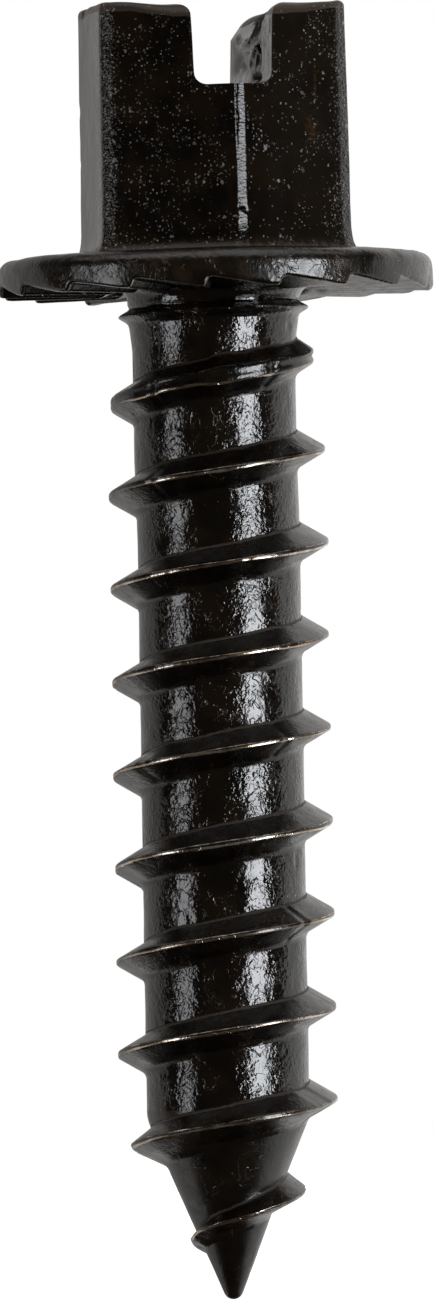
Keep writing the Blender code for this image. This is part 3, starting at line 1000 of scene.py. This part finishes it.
def head_material():
    """Smoother oxide with bright specks and scratches, partly bare steel and partly painted glints, dull
    along the edges, dusty at the foot, rusty.
    """
    graph, color = oxide("head_oxide", ior=1.37)
    # Lighter brown on the front right faces.
    color = graph.mix(graph.painted("right_face_tint"), color, RIGHT_FACE_BROWN)
    rust = graph.broken(graph.times(graph.painted("rust"), 0.8), 0.09, 0.7)
    color = graph.mix(graph.times(rust, 0.8), color, OCHRE)
    torn = graph.painted("torn")
    torn_steel = graph.mix(graph.ramp(graph.noise(0.7, 3), 0.44, 0.56), TORN_DARK, TORN_LIGHT)
    color = graph.mix(torn, color, torn_steel)
    dull = graph.broken(graph.painted("dull"), 0.30, 0.25)
    color = graph.mix(dull, color, DULL_BROWN)
    patchy = graph.ramp(graph.noise(0.15, 3), 0.36, 0.64, 0.3, 1.0)
    dusty = graph.times(graph.painted("dusty"), patchy)
    color = graph.mix(dusty, color, DUST)

    scuffed = graph.painted("scuffed")
    crowd = graph.ramp(graph.noise(0.8, 3), 0.42, 0.64, 0.08, 0.70)
    crowd = graph.math("MULTIPLY_ADD", scuffed, 0.45, crowd)
    fine = graph.specks(0.070, 0.40, crowd)
    large = graph.specks(0.21, 0.25, graph.times(crowd, 0.7))
    slanted = graph.stretched((1, 1, 3.4), (0.35, 0.30, 0.0))
    scratch = graph.specks(0.24, 0.14, 0.35, slanted)
    # The specks and slanted scratches are painted glints as well as bare steel; they crowd where the corners
    # are scuffed.
    glint_speck = graph.larger(fine, graph.larger(large, scratch))
    color = graph.mix(glint_speck, color, GLINT_AND_BARE_STEEL)

    normal = graph.bump(graph.noise(0.35, 2), 0.0045)
    dashes = graph.noise(0.070, 1.5, 0.4, graph.stretched((2.0, 2.0, 0.9)))
    grain = graph.times(dashes, graph.math("MULTIPLY_ADD", scuffed, 0.92, 0.08))
    normal = graph.bump(grain, 0.055, 1.0, normal)
    normal = graph.bump(glint_speck, 0.004, 0.5, normal)
    roughness = graph.ramp(graph.noise(0.4, 3), 0.3, 0.7, 0.10, 0.17)
    roughness = graph.larger(roughness, graph.times(dull, 0.34))
    roughness = graph.larger(roughness, graph.times(dusty, 0.6))
    roughness = graph.larger(roughness, graph.times(torn, 0.16))
    return finish(graph, color, roughness, normal)


# Studio ------------------------------------------------------------------------------------------

BOX_AWAY = 0.60                   # metres from the axis
BOX_FOOT = -0.32
BOX_TOP = 0.09                    # low enough for the screw's flat tops not to mirror it
WHITE = (1, 1, 1, 1)
PALE_GREY = (0.8, 0.8, 0.8, 1)
WARM_GREY = (1.0, 0.80, 0.62, 1)


def soft_box(name, heading, half_width, radiance, color):
    """A soft light at a heading to the viewer's right, as the screw sees it; both angles in degrees."""
    angle = math.radians(heading)
    wide = 2 * BOX_AWAY * math.tan(math.radians(half_width))
    tall = BOX_TOP - BOX_FOOT
    side = -VIEW_AHEAD * math.cos(angle) + VIEW_RIGHT * math.sin(angle)
    light = bpy.data.lights.new(name, "AREA")
    light.shape = "RECTANGLE"
    light.size = wide
    light.size_y = tall
    light.energy = radiance * math.pi * wide * tall
    light.color = color
    obj = bpy.data.objects.new(name, light)
    bpy.context.scene.collection.objects.link(obj)
    obj.location = side * BOX_AWAY + Vector((0, 0, (BOX_FOOT + BOX_TOP) / 2))
    obj.rotation_mode = "QUATERNION"
    obj.rotation_quaternion = (-side).to_track_quat("-Z", "Y")
    obj.visible_camera = False


def world_light(nodes):
    """How bright the world is in each direction, apart from its even dim glow."""
    direction = nodes.add("ShaderNodeTexCoord").outputs["Generated"]

    def toward(vector):
        """How far the direction points along a vector."""
        node = nodes.add("ShaderNodeVectorMath", operation="DOT_PRODUCT")
        nodes.join(direction, node.inputs[0])
        nodes.join(vector, node.inputs[1])
        return node.outputs["Value"]

    up = toward((0, 0, 1))
    right = toward(VIEW_RIGHT)
    # The backdrop starts at a slanted plane through the screw. It is brighter to the right, and low down.
    behind = nodes.ramp(toward(VIEW_AHEAD + 0.085 * VIEW_RIGHT - Vector((0, 0, 0.535))), 0.02, 0.16)
    far_left = nodes.ramp(right, -0.75, -0.40, 0.12, 0.0)
    by_side = nodes.math("ADD", nodes.ramp(right, -0.25, 0.50, 0.42, 1.2), far_left)
    low_down = nodes.ramp(up, -0.52, -0.32, 1.0, 0.0)
    backdrop = nodes.times(behind, nodes.larger(by_side, low_down))
    backdrop = nodes.times(backdrop, nodes.ramp(up, -0.70, -0.55))
    # The light overhead is strong in front of the screw and weak behind it.
    strength = nodes.ramp(toward(VIEW_AHEAD), 0.02, 0.30, 1.35, 0.12)
    overhead = nodes.times(nodes.ramp(up, 0.62, 0.82), strength)
    return nodes.larger(backdrop, overhead)


def studio_world():
    """Bright behind the screw and overhead, dark in front of it and below. The viewer sees plain white."""
    world = bpy.data.worlds.new("studio")
    bpy.context.scene.world = world
    world.use_nodes = True
    world.node_tree.nodes.clear()
    nodes = Nodes(world.node_tree)

    def background(color, strength):
        node = nodes.add("ShaderNodeBackground")
        nodes.join(color, node.inputs["Color"])
        nodes.join(strength, node.inputs["Strength"])
        return node.outputs["Background"]

    lighting = nodes.add("ShaderNodeAddShader")
    nodes.join(background(PALE_GREY, world_light(nodes)), lighting.inputs[0])
    nodes.join(background(WARM_GREY, 0.05), lighting.inputs[1])
    seen = nodes.add("ShaderNodeLightPath").outputs["Is Camera Ray"]
    surface = nodes.either(seen, lighting.outputs["Shader"], background(WHITE, 1.0))
    nodes.join(surface, nodes.add("ShaderNodeOutputWorld").inputs["Surface"])


def pale_floor():
    """A pale table just under the tip. It lights nothing, and it is clear from below."""
    half = 0.35
    z = (TIP_Z - 0.02) * MM
    corners = [(-half, -half, z), (half, -half, z), (half, half, z), (-half, half, z)]
    mesh = bpy.data.meshes.new("floor")
    mesh.from_pydata(corners, [], [(0, 1, 2, 3)])
    graph = Graph("floor_white")
    graph.shader.inputs["Base Color"].default_value = (0.50, 0.50, 0.50, 1)
    graph.shader.inputs["Roughness"].default_value = 0.9
    graph.shader.inputs["Emission Color"].default_value = WHITE
    graph.shader.inputs["Emission Strength"].default_value = 0.95
    from_below = graph.add("ShaderNodeNewGeometry").outputs["Backfacing"]
    clear = graph.add("ShaderNodeBsdfTransparent").outputs["BSDF"]
    surface = graph.either(from_below, graph.shader.outputs["BSDF"], clear)
    graph.join(surface, graph.tree.nodes["Material Output"].inputs["Surface"])
    floor = add_object("floor", mesh, graph.material)
    floor.visible_glossy = False
    floor.visible_diffuse = False


def camera():
    """A long lens, level with the lower part of the screw and looking very slightly up."""
    distance = 0.410
    seen_height = 0.032313
    target = VIEW_RIGHT * -0.00009 + Vector((0, 0, -0.0088467))
    ahead = VIEW_AHEAD * math.cos(VIEW_ELEVATION) + Vector((0, 0, -math.sin(VIEW_ELEVATION)))
    up = VIEW_RIGHT.cross(ahead)
    right = VIEW_RIGHT * math.cos(VIEW_ROLL) + up * math.sin(VIEW_ROLL)
    up = up * math.cos(VIEW_ROLL) - VIEW_RIGHT * math.sin(VIEW_ROLL)
    data = bpy.data.cameras.new("camera")
    data.sensor_width = 36.0
    data.lens = distance / seen_height * data.sensor_width
    data.clip_start = 0.01
    data.clip_end = 10
    obj = bpy.data.objects.new("camera", data)
    bpy.context.scene.collection.objects.link(obj)
    turn = Matrix((right, up, -ahead)).transposed().to_4x4()
    obj.matrix_world = Matrix.Translation(target - ahead * distance) @ turn
    bpy.context.scene.camera = obj


# The whole screw ---------------------------------------------------------------------------------

def piece(name, mesh, material, node):
    """One visible piece, smooth but for its sharp edges, which rides on the screw's only body."""
    mesh.shade_smooth()
    mesh.set_sharp_from_angle(angle=math.radians(35))
    obj = add_object(name, mesh, material)
    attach(obj, "root")
    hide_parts(node)
    return obj


def build_screw():
    head = head_mesh()
    lean_head(head, HEX_SHIFT)
    piece("hex_head_body", head, head_material(), "hex_head")

    flange = flange_mesh()
    lean_head(flange, FLANGE_SHIFT)
    piece("flange_disc", flange, flange_material(), "washer_flange")

    shank = tube_mesh("shank_core", shank_rings())
    paint(shank, "calm", 0.75 * eased(points_mm(shank)[:, 2], COLLAR_Z, NECK_GROOVE_Z + 0.1))
    oxide_on_core = shank_material("shank_oxide", depth=0.014, least_roughness=0.09)
    piece("shank_core", shank, oxide_on_core, "shank")

    point = tube_mesh("point_cone", point_rings())
    oxide_on_point = shank_material("point_oxide", depth=0.0045, least_roughness=0.23)
    piece("point_cone", point, oxide_on_point, "gimlet_point")

    piece("thread_ridge", thread_mesh(), thread_material(), "thread")


def build_studio():
    studio_world()
    soft_box("box_right", heading=47, half_width=12, radiance=14.2, color=(0.93, 0.96, 1.0))
    soft_box("box_left", heading=-61, half_width=8.5, radiance=4.4, color=(0.95, 0.97, 1.0))
    pale_floor()


build_screw()
build_studio()
camera()
bpy.context.scene.view_settings.view_transform = "Standard"
